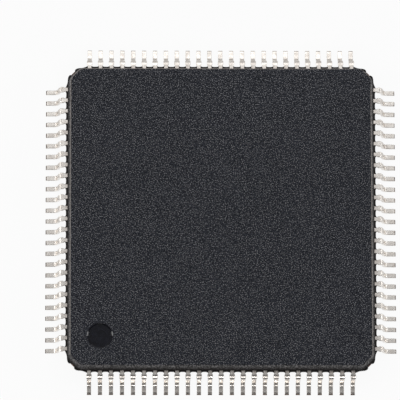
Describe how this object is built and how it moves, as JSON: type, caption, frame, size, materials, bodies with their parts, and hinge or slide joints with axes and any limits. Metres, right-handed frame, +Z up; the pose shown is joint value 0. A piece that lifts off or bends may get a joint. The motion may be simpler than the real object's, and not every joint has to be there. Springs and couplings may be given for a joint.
{
  "type": "quad flat pack integrated circuit",
  "caption": "Square black plastic chip with fine gull-wing leads on all four sides, a pin-1 dimple, and a lead frame, die and bond wires moulded inside; surface-mount encoder circuit.",
  "frame": {"origin": "middle of the package on the board plane that the feet of the leads stand on", "axes": "+Z up out of the top face, +X to the right and +Y to the rear with the pin-1 dimple at the front left"},
  "size_m": [0.016, 0.016, 0.0015],
  "materials": {
    "mould_compound": "black epoxy compound with a fine spark-eroded texture",
    "tinned_lead": "matte tin plating on copper alloy",
    "bare_copper": "bare copper alloy strip",
    "die_glue": "silver-filled epoxy",
    "silicon": "sawn silicon",
    "gold_wire": "drawn gold"
  },
  "bodies": {
    "root": {"mould_body": "mould_compound", "front_leads": "tinned_lead", "right_leads": "tinned_lead", "rear_leads": "tinned_lead", "left_leads": "tinned_lead", "die_pad": "bare_copper", "die_attach": "die_glue", "die": "silicon", "front_wires": "gold_wire", "right_wires": "gold_wire", "rear_wires": "gold_wire", "left_wires": "gold_wire"}
  },
  "joints": []
}
